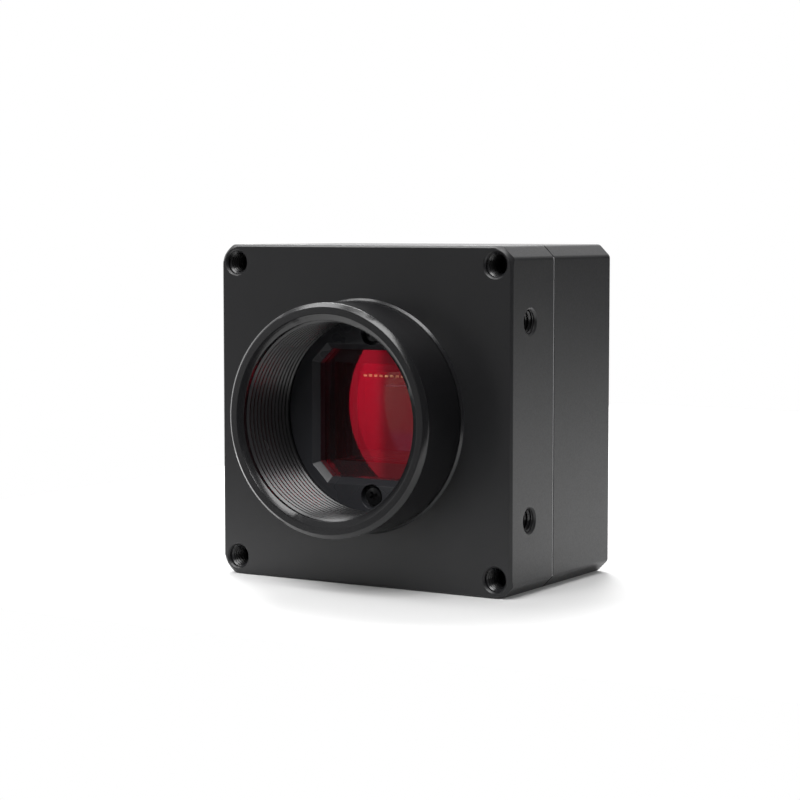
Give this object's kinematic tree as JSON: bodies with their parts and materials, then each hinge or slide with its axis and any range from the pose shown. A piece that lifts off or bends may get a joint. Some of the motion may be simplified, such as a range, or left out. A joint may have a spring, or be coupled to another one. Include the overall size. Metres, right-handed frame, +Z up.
{
  "type": "machine vision camera",
  "caption": "Square machine vision camera with a threaded lens mount ring, an infrared cut filter over the image sensor, and data and power sockets on its back.",
  "frame": {"origin": "centre of the lens mount at the front plane of its ring, on the optical axis", "axes": "the camera looks along -Y, +Z is up and +X is to the right as seen by someone facing its lens"},
  "size_m": [0.044, 0.0386, 0.044],
  "materials": {
    "case_black": "black anodised, fine bead-blasted",
    "ring_black": "black anodised, turned",
    "retainer_black": "matte black anodised",
    "black_steel": "black oxide",
    "case_seal": "light grey conductive seal",
    "filter_red": "dichroic infrared cut coating that reflects red",
    "foam": "matte foam",
    "cover_glass": "anti-reflection coated",
    "ceramic": "dark ceramic",
    "silicon": "polished silicon",
    "gold": "gold plated",
    "board": "solder mask",
    "connector_black": "moulded",
    "chip_black": "moulded",
    "thermal_gum": "soft pad",
    "ferrite": "pressed",
    "spacer_metal": "nickel plated",
    "bright_steel": "plated",
    "socket_metal": "satin nickel plated",
    "led_body": "moulded",
    "light_pipe": "clear moulded"
  },
  "bodies": {
    "root": {"front_housing": "case_black", "rear_housing": "case_black", "housing_gasket": "case_seal", "housing_screws": "black_steel", "lens_mount_ring": "ring_black", "filter_retainer": "retainer_black", "retainer_screws": "black_steel", "filter_glass": "filter_red", "filter_gasket": "foam", "sensor_gasket": "foam", "sensor_cover_glass": "cover_glass", "sensor_package": "ceramic", "sensor_die": "silicon", "bond_pads": "gold", "sensor_board": "board", "board_standoffs": "spacer_metal", "main_board": "board", "interface_standoffs": "spacer_metal", "interface_board": "board", "board_screws": "bright_steel", "mezzanine_connector": "connector_black", "header_connector": "connector_black", "processor_chip": "chip_black", "thermal_pad": "thermal_gum", "memory_chips": "chip_black", "power_inductors": "ferrite", "usb_shell": "bright_steel", "usb_tongue": "connector_black", "io_shell": "socket_metal", "io_insert": "connector_black", "io_pins": "gold", "io_nut": "socket_metal", "status_led": "led_body", "light_pipe": "light_pipe"}
  },
  "joints": []
}
